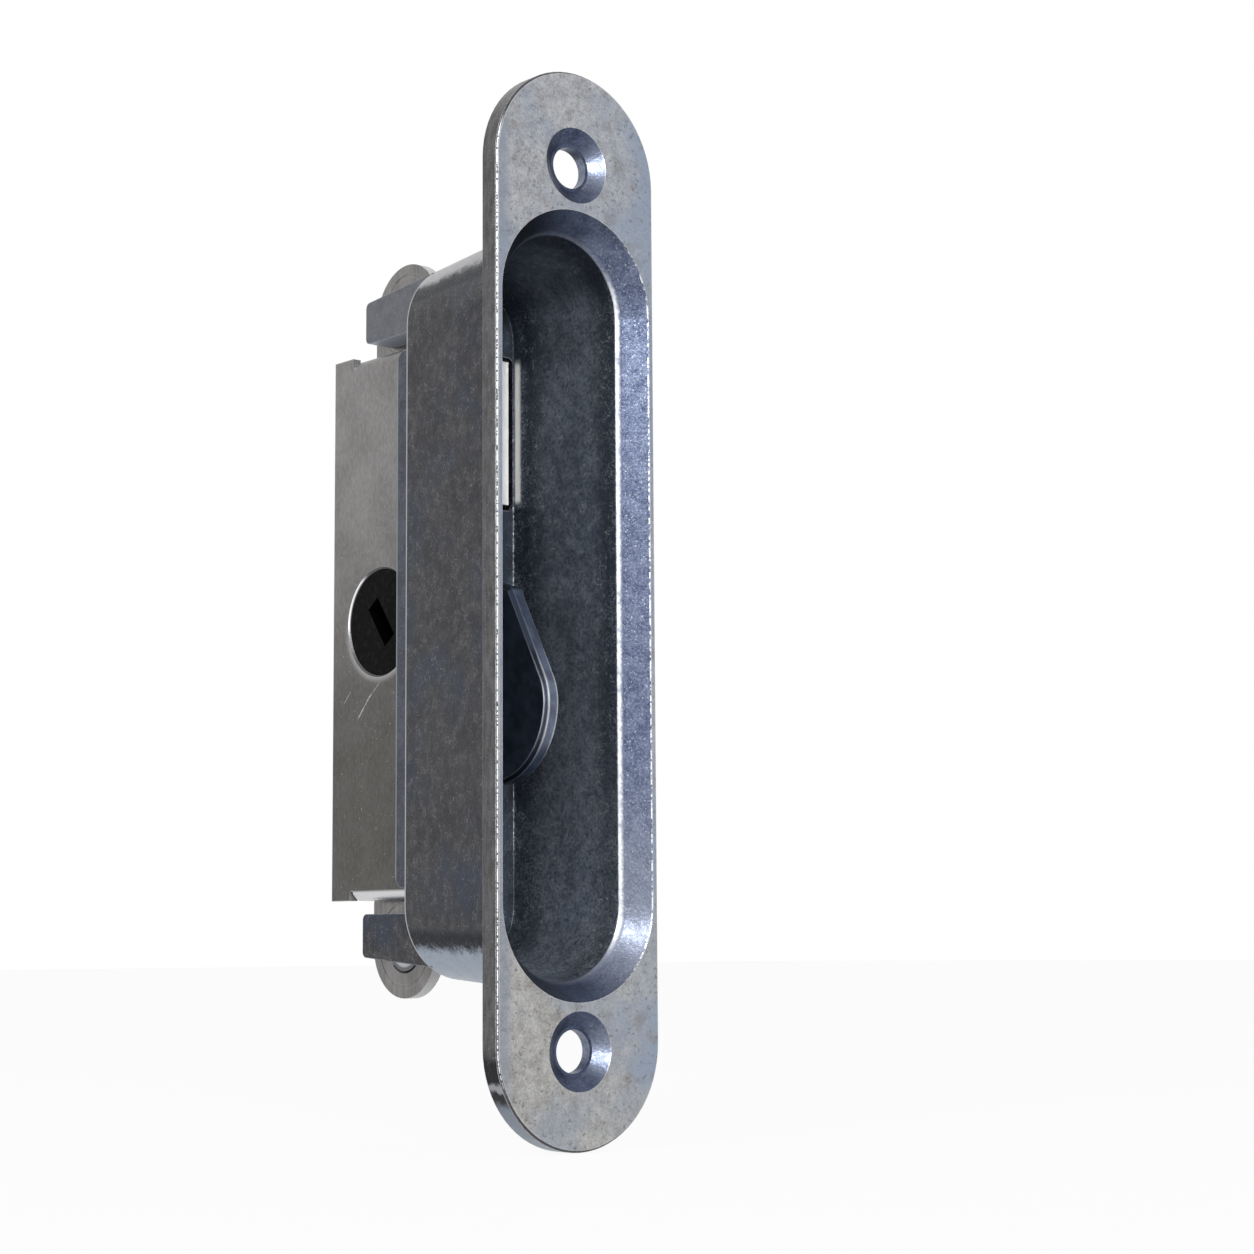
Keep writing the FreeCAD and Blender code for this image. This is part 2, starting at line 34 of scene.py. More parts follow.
# The camera: a long lens to the lock's left, a little below its middle.
# The lock stands on the foot of its faceplate.
lens_place = Vector((-0.201345, -0.243003, -0.042388))
lens_right = Vector((0.75467348, -0.65606498, -0.00683206))
lens_down = Vector((0.07574864, 0.09746793, -0.99235183))
lens_ahead = Vector((0.65171319, 0.74838409, 0.12325249))
camera_data = bpy.data.cameras.new("camera")
camera_data.lens = 74.11
camera_data.sensor_width = 36.0
camera_data.clip_start = 0.01
camera = bpy.data.objects.new("camera", camera_data)
turn = Matrix((lens_right, -lens_down, -lens_ahead)).transposed().to_4x4()
camera.matrix_world = Matrix.Translation(lens_place) @ turn
bpy.context.scene.collection.objects.link(camera)
bpy.context.scene.camera = camera
bpy.context.scene.view_settings.view_transform = "Standard"


# The casting: faceplate, cup, cheeks and lugs in one piece of zinc, tumbled and plated.
# The plating is mottled grey on the face and blue down in the cup; the cup's outside is dark,
# partly from painted shade.
# Lengths are in metres, and depth is counted back from the faceplate's front.
class Finish:
    """A material's node tree, built a node at a time."""

    def __init__(self, name):
        self.material = bpy.data.materials.new(name)
        self.material.use_nodes = True
        self.tree = self.material.node_tree
        self.tree.nodes.clear()
        self.shader = self.add("ShaderNodeBsdfPrincipled")
        out = self.add("ShaderNodeOutputMaterial")
        self.join(self.shader.outputs[0], out.inputs[0])
        self.place = self.add("ShaderNodeTexCoord").outputs["Object"]
        self.across, self.inward, self.height = self.split(self.place)
        face = self.add("ShaderNodeNewGeometry")
        self.normal = face.outputs["Normal"]
        self.facing_x, self.facing_y, self.facing_z = self.split(self.normal)

    def add(self, kind, **settings):
        node = self.tree.nodes.new(kind)
        for key, value in settings.items():
            setattr(node, key, value)
        return node

    def join(self, source, socket):
        if hasattr(source, "is_output"):
            self.tree.links.new(source, socket)
        else:
            socket.default_value = source

    def split(self, vector):
        node = self.add("ShaderNodeSeparateXYZ")
        self.join(vector, node.inputs[0])
        return node.outputs

    def math(self, operation, a, b=0.0):
        node = self.add("ShaderNodeMath", operation=operation)
        self.join(a, node.inputs[0])
        self.join(b, node.inputs[1])
        return node.outputs[0]

    def times(self, *factors):
        # A product: of masks, it is 1 only where all of them are.
        result = factors[0]
        for factor in factors[1:]:
            result = self.math("MULTIPLY", result, factor)
        return result

    def plus(self, *terms):
        result = terms[0]
        for term in terms[1:]:
            result = self.math("ADD", result, term)
        return result

    def minus(self, a, b):
        return self.math("SUBTRACT", a, b)

    def absolute(self, value):
        return self.math("ABSOLUTE", value)

    def inverse(self, mask):
        return self.minus(1.0, mask)

    def below(self, value, limit):
        return self.math("LESS_THAN", value, limit)

    def above(self, value, limit):
        return self.math("GREATER_THAN", value, limit)

    def between(self, value, low, high):
        return self.times(self.above(value, low), self.below(value, high))

    def radius(self, a, b):
        return self.math("SQRT", self.plus(self.times(a, a), self.times(b, b)))

    def span(self, value, low, high, to_low=0.0, to_high=1.0):
        # A smooth step: to_low at low and to_high at high, which may be the smaller of the two.
        node = self.add("ShaderNodeMapRange", interpolation_type="SMOOTHSTEP")
        for socket, number in zip(node.inputs, (value, low, high, to_low, to_high)):
            self.join(number, socket)
        return node.outputs[0]

    def grain(self, per_metre, detail=3.0, stretch=(1, 1, 1), shift=(0, 0, 0)):
        moved = self.add("ShaderNodeMapping")
        moved.inputs["Location"].default_value = shift
        moved.inputs["Scale"].default_value = stretch
        self.join(self.place, moved.inputs[0])
        node = self.add("ShaderNodeTexNoise")
        self.join(moved.outputs[0], node.inputs["Vector"])
        node.inputs["Scale"].default_value = per_metre
        node.inputs["Detail"].default_value = detail
        return node.outputs[0]

    def hairs(self, per_metre, width, shift=(0, 0, 0)):
        # Thin winding lines, where a soft noise crosses its middle value.
        noise = self.grain(per_metre, shift=shift)
        return self.span(self.absolute(self.minus(noise, 0.5)), width, width * 0.3)

    def scratch(self, start, end, width):
        # A straight scratch on a side of the case, from start to end (inward, height).
        reach = ((end[0] - start[0]) ** 2 + (end[1] - start[1]) ** 2) ** 0.5
        way_y, way_z = (end[0] - start[0]) / reach, (end[1] - start[1]) / reach
        y = self.minus(self.inward, start[0])
        z = self.minus(self.height, start[1])
        along = self.plus(self.times(y, way_y), self.times(z, way_z))
        aside = self.minus(self.times(y, way_z), self.times(z, way_y))
        from_half = self.absolute(self.minus(along, reach / 2))
        return self.times(self.span(self.absolute(aside), width, width * 0.3),
                          self.span(from_half, reach * 0.5, reach * 0.3))

    def tint(self, share, a, b):
        # Colour a where share is 0, colour b where it is 1.
        node = self.add("ShaderNodeMix", data_type="RGBA")
        self.join(share, node.inputs[0])
        for colour, socket in ((a, node.inputs[6]), (b, node.inputs[7])):
            self.join(colour if hasattr(colour, "is_output") else (*colour, 1.0), socket)
        return node.outputs[2]

    def wear(self, radius):
        # Close to 1 on the object's edges and 0 on its flats.
        round_off = self.add("ShaderNodeBevel", samples=6)
        self.join(radius, round_off.inputs[0])
        match = self.add("ShaderNodeVectorMath", operation="DOT_PRODUCT")
        self.join(round_off.outputs[0], match.inputs[0])
        self.join(self.normal, match.inputs[1])
        return self.span(match.outputs["Value"], 0.995, 0.93)

    def bump(self, height, depth, normal=None):
        node = self.add("ShaderNodeBump")
        if normal:
            self.join(normal, node.inputs["Normal"])
        node.inputs["Strength"].default_value = 1.0
        node.inputs["Distance"].default_value = depth
        self.join(height, node.inputs["Height"])
        self.join(node.outputs[0], self.shader.inputs["Normal"])

    def coat(self, metallic, roughness, colour):
        self.join(metallic, self.shader.inputs["Metallic"])
        self.join(roughness, self.shader.inputs["Roughness"])
        self.join(colour, self.shader.inputs["Base Color"])


def dress(name, finish):
    slots = nodes[name].data.materials
    slots.clear()
    slots.append(finish.material)


plate_thickness, face_end, plate_end = 0.0028, 0.00004, 0.00285
arc_start, lug_start = 0.0371, 0.0370
screw_z, seat_radius = 0.05475, 0.0049
mouth_radius, mouth_start, mouth_end = 0.01186, 0.00005, 0.0038
front_wall_radius, wall_taper = 0.01015, 0.095
cup_end, cheek_start = 0.0222, 0.0236

zinc = Finish("cast_zinc")
depth = zinc.plus(zinc.inward, plate_thickness)
far_z = zinc.absolute(zinc.height)
end_z = zinc.math("MAXIMUM", zinc.minus(far_z, arc_start), 0.0)
from_middle = zinc.radius(zinc.across, end_z)
from_screw = zinc.radius(zinc.across, zinc.minus(far_z, screw_z))
wall_radius = zinc.minus(front_wall_radius, zinc.times(depth, wall_taper))
on_face = zinc.below(depth, face_end)
on_plate = zinc.below(depth, plate_end)
not_back = zinc.below(zinc.facing_y, 0.5)
in_hole = zinc.times(zinc.below(from_screw, seat_radius), on_plate, not_back)
# The inner faces look towards the middle line; the outer ones look away from it.
end_way = zinc.times(end_z, zinc.math("SIGN", zinc.height))
outwards = zinc.plus(zinc.times(zinc.across, zinc.facing_x), zinc.times(end_way, zinc.facing_z))
inner = zinc.times(zinc.below(outwards, 0.001), not_back)
in_mouth = zinc.times(zinc.below(from_middle, mouth_radius),
                      zinc.between(depth, mouth_start, mouth_end), inner)
in_cup = zinc.times(zinc.below(from_middle, wall_radius), zinc.below(depth, cup_end), inner)
behind_cup = zinc.above(depth, cheek_start)
upper_lug = zinc.times(zinc.above(zinc.height, lug_start), behind_cup)
shelf = zinc.times(upper_lug, zinc.below(zinc.facing_z, -0.7))
cheek = zinc.times(behind_cup, zinc.below(far_z, lug_start))
looks_left = zinc.times(zinc.facing_x, -1.0)

blots = zinc.span(zinc.grain(150.0, 4.0), 0.36, 0.64)
spots = zinc.span(zinc.grain(620.0, 4.0), 0.36, 0.66)
fine = zinc.span(zinc.grain(2600.0, 4.0), 0.36, 0.66)
grit = zinc.span(zinc.grain(5600.0, 2.0), 0.38, 0.64)
stain = zinc.span(zinc.grain(95.0, 4.0, shift=(0.3, 0.1, 0.2)), 0.46, 0.66)
broken = zinc.span(zinc.grain(2100.0, 3.0), 0.43, 0.56)
nicked = zinc.span(zinc.grain(3400.0, 3.0), 0.42, 0.52)
cloud = zinc.plus(zinc.times(blots, 0.25), zinc.times(spots, 0.4), zinc.times(fine, 0.35))
mottle = zinc.plus(zinc.times(spots, 0.35), zinc.times(fine, 0.35), zinc.times(grit, 0.3))


def outside_colour():
    # Dark, partly from painted shade, with a darker painted band of shade and then a painted pale
    # reflection where the cup's ends turn up and down.
    dark, light, blue = (0.034, 0.035, 0.042), (0.073, 0.072, 0.075), (0.040, 0.050, 0.076)
    scuff, shelf_reflection_blue = (0.180, 0.180, 0.185), (0.62, 0.68, 0.78)
    shade_band_dark, shade_band_light = (0.003, 0.005, 0.009), (0.012, 0.015, 0.023)
    reflection_low, reflection_high, pale_hair = (0.29, 0.34, 0.41), (0.36, 0.36, 0.37), (0.12, 0.12, 0.14)
    lug_dark, lug_light = (0.115, 0.118, 0.135), (0.165, 0.168, 0.185)
    cheek_dark, cheek_light = (0.055, 0.060, 0.078), (0.105, 0.112, 0.138)
    shade_band_turn, reflection_turn, raggedness = (0.26, 0.38), (0.47, 0.62), 0.11
    colour = zinc.tint(cloud, dark, light)
    colour = zinc.tint(zinc.times(stain, 0.7), colour, blue)
    curls = zinc.times(zinc.hairs(850.0, 0.016), zinc.span(spots, 0.2, 0.9), 0.6)
    colour = zinc.tint(curls, colour, scuff)
    colour = zinc.tint(upper_lug, colour, zinc.tint(cloud, lug_dark, lug_light))
    ragged = zinc.times(zinc.minus(cloud, 0.5), raggedness)
    turned = zinc.plus(zinc.absolute(zinc.facing_z), ragged)
    # Painted shade in the band, then a painted reflection on the turned ends.
    band = zinc.tint(fine, shade_band_dark, shade_band_light)
    colour = zinc.tint(zinc.span(turned, *shade_band_turn), colour, band)
    pale = zinc.tint(zinc.above(zinc.height, 0.0), reflection_low, reflection_high)
    pale = zinc.tint(zinc.times(zinc.hairs(500.0, 0.02), 0.2), pale, pale_hair)
    colour = zinc.tint(zinc.span(turned, *reflection_turn), colour, pale)
    # The lug's underside: a painted pale blue reflection.
    colour = zinc.tint(shelf, colour, shelf_reflection_blue)
    return zinc.tint(cheek, colour, zinc.tint(cloud, cheek_dark, cheek_light))


def rim_colour():
    # The plate's rim: a warm grey with streaks from trimming, and three painted bands of light at
    # its foot: a shade, a highlight and a sheen.
    dark, light = (0.065, 0.063, 0.066), (0.150, 0.146, 0.150)
    shade, gleam, sheen = (0.018, 0.018, 0.021), (0.30, 0.31, 0.33), (0.20, 0.23, 0.28)
    shade_start, sheen_start = (-0.0535, -0.0560), (-0.0598, -0.0614)
    gleam_start, gleam_end = (-0.0579, -0.0584), (-0.0592, -0.0587)
    streaks = zinc.span(zinc.grain(1500.0, 3.0, (1, 1, 0.2)), 0.35, 0.65)
    streaked = zinc.plus(zinc.times(streaks, 0.4), zinc.times(cloud, 0.6))
    colour = zinc.tint(streaked, dark, light)
    foot = zinc.plus(zinc.height, zinc.times(spots, 0.0006))
    at_rim = zinc.below(zinc.absolute(zinc.facing_y), 0.5)
    # Painted shade, highlight and sheen bands at the foot.
    colour = zinc.tint(zinc.times(zinc.span(foot, *shade_start), at_rim), colour, shade)
    gleaming = zinc.times(zinc.span(foot, *gleam_start), zinc.span(foot, *gleam_end), at_rim)
    colour = zinc.tint(gleaming, colour, gleam)
    return zinc.tint(zinc.times(zinc.span(foot, *sheen_start), at_rim), colour, sheen)


def face_colour():
    # The face: blue-grey with brown blots near the top, a warmer grey at the foot.
    high_dark, high_light = (0.255, 0.265, 0.290), (0.500, 0.510, 0.530)
    low_dark, low_light = (0.285, 0.282, 0.276), (0.530, 0.525, 0.515)
    blue, left_blue = (0.270, 0.320, 0.410), (0.235, 0.275, 0.345)
    brown, pit, vein = (0.230, 0.210, 0.195), (0.15, 0.15, 0.16), (0.17, 0.16, 0.165)
    colour = zinc.tint(zinc.span(zinc.height, -0.02, 0.02), zinc.tint(mottle, low_dark, low_light),
                       zinc.tint(mottle, high_dark, high_light))
    blue_side = zinc.plus(zinc.span(zinc.across, 0.001, 0.0125, 0.0, 0.45), zinc.times(stain, 0.5))
    colour = zinc.tint(blue_side, colour, blue)
    browned = zinc.span(zinc.grain(420.0, 6.0, shift=(0.7, 0.4, 0.5)), 0.54, 0.70)
    colour = zinc.tint(zinc.times(browned, 0.5), colour, brown)
    pits = zinc.span(zinc.grain(1900.0, 3.0, shift=(0.1, 0.5, 0.3)), 0.61, 0.67)
    colour = zinc.tint(zinc.times(pits, 0.6), colour, pit)
    veins = zinc.times(zinc.hairs(560.0, 0.018, (0.4, 0.1, 0.9)), fine, 0.45)
    colour = zinc.tint(veins, colour, vein)
    return zinc.tint(zinc.span(zinc.across, -0.0100, -0.0116, 0.0, 0.6), colour, left_blue)


def bevel_colour(to_left):
    # The mouth's bevel: blue, with a painted reflection lightening the side turned to the left,
    # painted shade on the other, painted glints, and painted highlights near the lip and low on the
    # lit side.
    dark, light, shade = (0.050, 0.064, 0.098), (0.115, 0.140, 0.210), (0.022, 0.027, 0.038)
    lit_side_dark, lit_side_light = (0.052, 0.068, 0.128), (0.212, 0.248, 0.358)
    low_side_highlight, glint, gleam = (0.40, 0.43, 0.49), (0.60, 0.64, 0.74), (0.40, 0.46, 0.60)
    side = zinc.tint(mottle, lit_side_dark, lit_side_light)
    # Painted glints on the lit side.
    glints = zinc.span(zinc.grain(3600.0, 4.0), 0.59, 0.71)
    side = zinc.tint(zinc.times(glints, 0.6), side, glint)
    # A painted highlight low on the lit side.
    side = zinc.tint(zinc.span(zinc.height, -0.018, -0.040, 0.0, 0.35), side, low_side_highlight)
    colour = zinc.tint(cloud, dark, light)
    colour = zinc.tint(zinc.span(zinc.facing_x, 0.0, 0.6), colour, shade)
    # A painted highlight near the lip.
    near_lip_highlight = zinc.times(zinc.span(depth, 0.0016, 0.0034), to_left, 0.35)
    colour = zinc.tint(near_lip_highlight, colour, gleam)
    return zinc.tint(to_left, colour, side)


def seat_colour(to_left):
    # The screw seats: dark blue, with a painted grey reflection on the side turned to the left.
    dark, light = (0.028, 0.037, 0.070), (0.085, 0.104, 0.170)
    lit_side_dark, lit_side_light = (0.12, 0.14, 0.20), (0.23, 0.26, 0.33)
    # The lit side is a painted reflection.
    side = zinc.tint(mottle, lit_side_dark, lit_side_light)
    return zinc.tint(to_left, zinc.tint(cloud, dark, light), side)


def cup_colour():
    # Down in the cup: dark blue plating, scuffed by fine swirls, with painted light half-way in and
    # low down.
    dark, light = (0.070, 0.086, 0.112), (0.135, 0.162, 0.205)
    lit_middle_dark, lit_middle_light = (0.240, 0.290, 0.365), (0.590, 0.660, 0.755)
    low_dark, low_light = (0.16, 0.20, 0.26), (0.60, 0.65, 0.73)
    scuff, loop, dimple = (0.88, 0.91, 0.94), (0.85, 0.89, 0.93), (0.060, 0.074, 0.100)
    tab_highlight_white, white = (1.0, 0.98, 0.94), (1.0, 1.0, 1.0)
    cup_floor_shade, ceiling_shade_blue = (0.040, 0.045, 0.053), (0.045, 0.055, 0.075)
    middle_start, middle_end = (0.0050, 0.0090), (0.0190, 0.0140)
    foot_start, foot_end = (0.0200, 0.0205), (0.0214, 0.0210)
    tab_start, tab_end = (0.0152, 0.0160), (0.0350, 0.0342)
    corner_depth, corner_top, corner_foot = 0.0213, (0.0154, 0.0148), (-0.034, -0.028)
    swirls = zinc.plus(zinc.times(zinc.span(zinc.grain(2400.0, 6.0), 0.36, 0.66), 0.55),
                       zinc.times(spots, 0.45))
    colour = zinc.tint(swirls, dark, light)
    # Painted light half-way in.
    middle = zinc.times(zinc.span(depth, *middle_start), zinc.span(depth, *middle_end),
                        zinc.span(blots, 0.0, 0.8, 0.65, 1.0))
    colour = zinc.tint(middle, colour, zinc.tint(swirls, lit_middle_dark, lit_middle_light))
    # Painted light low down.
    painted_light_low = zinc.span(zinc.height, -0.012, -0.030, 0.0, 0.30)
    colour = zinc.tint(painted_light_low, colour, zinc.tint(swirls, low_dark, low_light))
    curls = zinc.times(zinc.hairs(1100.0, 0.016, (0.8, 0.3, 0.1)), zinc.span(spots, 0.3, 0.9), 0.8)
    colour = zinc.tint(curls, colour, scuff)
    loops = zinc.times(zinc.hairs(1900.0, 0.020, (0.2, 0.6, 0.5)), blots, 0.6)
    colour = zinc.tint(loops, colour, loop)
    dimples = zinc.span(zinc.grain(1700.0, 3.0, shift=(0.6, 0.1, 0.4)), 0.56, 0.68)
    colour = zinc.tint(zinc.times(dimples, 0.4), colour, dimple)
    # The foot of the wall has a painted highlight beside the upper tab, and a broken bright line in
    # its corner.
    tab_highlight = zinc.times(zinc.span(depth, *foot_start), zinc.span(depth, *foot_end),
                        zinc.span(zinc.height, *tab_start), zinc.span(zinc.height, *tab_end))
    colour = zinc.tint(tab_highlight, colour, tab_highlight_white)
    corner = zinc.times(zinc.above(depth, corner_depth), zinc.span(zinc.height, *corner_top),
                        zinc.span(zinc.height, *corner_foot),
                        zinc.span(zinc.grain(2300.0, 2.0), 0.42, 0.56))
    colour = zinc.tint(corner, colour, white)
    # The cup's floor is painted darker, as shade.
    colour = zinc.tint(zinc.below(zinc.facing_y, -0.8), colour, cup_floor_shade)
    # The cup's upper end, which looks down, is painted dark as shade.
    looks_down = zinc.span(zinc.facing_z, -0.20, -0.65, 0.0, 0.60)
    return zinc.tint(looks_down, colour, ceiling_shade_blue)


def with_lip_highlight(colour):
    # The lip between bevel and cup carries a painted highlight, brightest on the side turned to the
    # left.
    bright, lip_depth, lip_radius = (0.90, 0.92, 0.95), 0.0035, 0.0106
    from_lip = zinc.plus(zinc.absolute(zinc.minus(depth, lip_depth)), zinc.times(fine, 0.00014))
    # The painted highlight along the lip.
    lip_highlight = zinc.times(zinc.span(from_lip, 0.00052, 0.00006), zinc.below(from_middle, lip_radius),
                     zinc.span(zinc.grain(1300.0, 3.0), 0.30, 0.52, 0.45, 1.0),
                     zinc.span(looks_left, 0.60, 0.84, 0.10, 1.0))
    return zinc.tint(lip_highlight, colour, bright)


def with_worn_and_highlit_edges(colour):
    # The edges are rubbed, with a painted highlight over the wear that is brightest on the plate's
    # front edges; the plate's cut edge and the mouth's front edge carry painted highlight lines on
    # the side turned to the left.
    cup_shine = (0.30, 0.31, 0.345)
    front_shine, back_shine = (0.70, 0.71, 0.73), (0.28, 0.29, 0.31)
    black_line, white, bright = (0.05, 0.05, 0.055), (0.95, 0.95, 0.96), (0.90, 0.92, 0.95)
    cup_wear, plate_wear, front_half = 0.00022, 0.00012, 0.0015
    cut, mouth_cut, mouth_rim = (0.00010, 0.00018), (0.00004, 0.00017), 0.01195
    plated = zinc.inverse(in_hole)
    # The edges' shine is wear with a painted highlight over it, brightest at the front.
    plate_shine = zinc.tint(zinc.below(depth, front_half), back_shine, front_shine)
    shine = zinc.tint(on_plate, cup_shine, plate_shine)
    worn = zinc.wear(zinc.span(on_plate, 0.0, 1.0, cup_wear, plate_wear))
    worn = zinc.times(worn, zinc.span(broken, 0.0, 1.0, 0.45, 1.0), plated)
    colour = zinc.tint(worn, colour, shine)
    cut_edge = zinc.times(zinc.between(depth, *cut), plated, zinc.above(from_middle, mouth_rim))
    dark_end = zinc.span(far_z, 0.0565, 0.0600)
    colour = zinc.tint(zinc.times(cut_edge, dark_end, 0.8), colour, black_line)
    # A painted highlight line on the cut edge.
    highlight_line = zinc.times(cut_edge, nicked, zinc.below(zinc.facing_x, -0.1),
                            zinc.inverse(dark_end))
    colour = zinc.tint(highlight_line, colour, white)
    # A painted highlight on the mouth's front edge.
    mouth_edge_highlight = zinc.times(zinc.between(depth, *mouth_cut), in_mouth, broken,
                            zinc.span(looks_left, 0.45, 0.75))
    return zinc.tint(mouth_edge_highlight, colour, bright)


def with_back_edge_highlights(colour):
    # The cup's back edge and the cheek's back edge carry painted highlights, and the round stud's
    # end under each lug carries a painted dome highlight.
    back_edge_highlight, cheek_edge_highlight = (0.42, 0.42, 0.44), (0.24, 0.25, 0.28)
    stud_dark, stud_highlight = (0.15, 0.15, 0.16), (0.46, 0.47, 0.49)
    edge_start, edge_end, cheek_end = (0.02285, 0.02300), 0.02318, 0.02712
    stud_inward, stud_z, stud_radius = 0.0311, 0.0419, 0.00338
    stud_flat, stud_front, stud_left = 0.04350, 0.0240, -0.0016
    dome_inside, dome_outside = (0.0020, 0.0025), (0.0030, 0.0026)
    # Painted highlights on the back edges.
    at_back = zinc.times(zinc.span(depth, *edge_start), zinc.below(depth, edge_end))
    colour = zinc.tint(at_back, colour, back_edge_highlight)
    colour = zinc.tint(zinc.times(cheek, zinc.above(depth, cheek_end)), colour, cheek_edge_highlight)
    from_stud = zinc.radius(zinc.minus(zinc.inward, stud_inward), zinc.minus(far_z, stud_z))
    stud_end = zinc.times(zinc.above(far_z, stud_flat), zinc.below(from_stud, stud_radius),
                          zinc.above(depth, stud_front), zinc.below(zinc.facing_x, -0.9),
                          zinc.above(zinc.across, stud_left))
    # A painted dome highlight.
    dome_highlight = zinc.times(zinc.span(from_stud, *dome_inside), zinc.span(from_stud, *dome_outside))
    return zinc.tint(stud_end, colour, zinc.tint(dome_highlight, stud_dark, stud_highlight))


def even_normal():
    # The seats are true cones: their normal is worked out, so that the light runs evenly round.
    cone_aside, cone_ahead, cone_start, cone_end = -0.5354, -0.8446, 0.00002, 0.00141
    to_end = zinc.times(zinc.minus(far_z, screw_z), zinc.math("SIGN", zinc.height))
    cone = zinc.add("ShaderNodeCombineXYZ")
    zinc.join(zinc.times(zinc.math("DIVIDE", zinc.across, from_screw), cone_aside), cone.inputs[0])
    cone.inputs[1].default_value = cone_ahead
    zinc.join(zinc.times(zinc.math("DIVIDE", to_end, from_screw), cone_aside), cone.inputs[2])
    on_cone = zinc.times(in_hole, zinc.between(depth, cone_start, cone_end))
    chosen = zinc.add("ShaderNodeMix", data_type="VECTOR")
    zinc.join(on_cone, chosen.inputs[0])
    zinc.join(zinc.normal, chosen.inputs[4])
    zinc.join(cone.outputs[0], chosen.inputs[5])
    return chosen.outputs[1]


to_left = zinc.span(looks_left, 0.15, 0.75)
colour = zinc.tint(on_plate, outside_colour(), rim_colour())
colour = zinc.tint(in_cup, colour, cup_colour())
colour = zinc.tint(in_mouth, colour, bevel_colour(to_left))
colour = zinc.tint(in_hole, colour, seat_colour(to_left))
colour = zinc.tint(on_face, colour, face_colour())
speck_grey, cup_matt, hole_gloss = (0.50, 0.50, 0.53), 0.12, 0.04
specks = zinc.span(zinc.grain(4300.0, 2.0, shift=(0.2, 0.2, 0.6)), 0.66, 0.74)
colour = zinc.tint(zinc.times(specks, 0.35), colour, speck_grey)
colour = with_back_edge_highlights(with_worn_and_highlit_edges(with_lip_highlight(colour)))
matt = zinc.times(in_cup, zinc.below(depth, 0.0185), cup_matt)
roughness = zinc.minus(zinc.plus(zinc.span(cloud, 0.0, 1.0, 0.40, 0.32), matt),
                       zinc.times(in_hole, hole_gloss))
metallic = zinc.span(shelf, 0.0, 1.0, 0.92, 0.1)
zinc.coat(metallic=metallic, roughness=roughness, colour=colour)
zinc.bump(zinc.grain(2600.0, 2.0), 0.00003, even_normal())
dress("faceplate_casting", zinc)


# The case's near side: folded steel sheet, plated and brushed, darker towards its foot.
# Handling has left light specks, and a few scratches below the hub.
hub_inward = 0.02995
hub_hole_radius = 0.00722
sheet = Finish("case_sheet")
brushed = sheet.span(sheet.grain(2400.0, 5.0, (1, 1, 0.5)), 0.35, 0.65)
patches = sheet.span(sheet.grain(160.0, 5.0), 0.35, 0.65)
mixed = sheet.plus(sheet.times(brushed, 0.5), sheet.times(patches, 0.5))
from_hub = sheet.radius(sheet.minus(sheet.inward, hub_inward), sheet.height)
hub_rim = sheet.below(from_hub, hub_hole_radius)
on_side = sheet.below(sheet.facing_x, -0.9)


def sheet_colour():
    # Warm grey, with a painted highlight on the lower fold.
    high_dark, high_light = (0.185, 0.180, 0.178), (0.265, 0.258, 0.256)
    low_dark, low_light = (0.080, 0.078, 0.072), (0.115, 0.112, 0.106)
    fold_highlight, speck, smear = (0.66, 0.66, 0.67), (0.50, 0.50, 0.50), (0.11, 0.11, 0.11)
    colour = sheet.tint(sheet.span(sheet.height, -0.020, 0.022),
                        sheet.tint(mixed, low_dark, low_light),
                        sheet.tint(mixed, high_dark, high_light))
    # The lower fold carries a painted highlight.
    folded = sheet.span(sheet.times(sheet.facing_z, -1.0), 0.10, 0.40)
    colour = sheet.tint(folded, colour, fold_highlight)
    dots = sheet.span(sheet.grain(2700.0, 2.0), 0.68, 0.74)
    colour = sheet.tint(sheet.times(dots, 0.5), colour, speck)
    smudge = sheet.span(sheet.grain(900.0, 4.0, shift=(0.5, 0.2, 0.2)), 0.62, 0.74)
    return sheet.tint(sheet.times(smudge, 0.4), colour, smear)


def with_scratches(colour):
    # One long scratch and two faint ones, each from start to end (inward, height).
    bare = (0.62, 0.62, 0.63)
    long_mark = sheet.scratch((0.03160, -0.00900), (0.03500, -0.01260), 0.00014)
    tail_mark = sheet.scratch((0.02960, -0.00760), (0.03230, -0.00985), 0.00010)
    short_mark = sheet.scratch((0.03630, -0.00850), (0.03815, -0.01030), 0.00010)
    marks = sheet.plus(long_mark, sheet.times(sheet.plus(tail_mark, short_mark), 0.5))
    uneven = sheet.span(sheet.grain(2000.0, 2.0), 0.3, 0.6, 0.3, 0.9)
    return sheet.tint(sheet.times(marks, uneven, on_side), colour, bare)


def with_bright_edges(colour):
    # A painted glow of light below the hub, bright sheared edges, and a painted highlight arc on
    # the hole's rim.
    painted_glow_grey, sheared, worn = (0.50, 0.50, 0.51), (0.78, 0.78, 0.80), (0.60, 0.60, 0.60)
    rim_dark, rim_bright = (0.11, 0.11, 0.115), (0.90, 0.90, 0.91)
    # A painted glow below the hub.
    glow = sheet.times(sheet.span(from_hub, 0.0082, 0.0072),
                       sheet.span(sheet.height, 0.002, -0.004, 0.0, 0.5), on_side)
    colour = sheet.tint(glow, colour, painted_glow_grey)
    colour = sheet.tint(sheet.below(sheet.facing_y, -0.5), colour, sheared)
    colour = sheet.tint(sheet.times(sheet.wear(0.00025), sheet.inverse(hub_rim), 0.5), colour, worn)
    # A painted highlight arc.
    arc_foot, arc_top, arc_side = (-0.002, 0.001), (0.0066, 0.0056), (-0.00614, -0.00626)
    lit_arc = sheet.times(sheet.span(sheet.height, *arc_foot), sheet.span(sheet.height, *arc_top),
                          sheet.span(sheet.across, *arc_side))
    return sheet.tint(hub_rim, colour, sheet.tint(lit_arc, rim_dark, rim_bright))


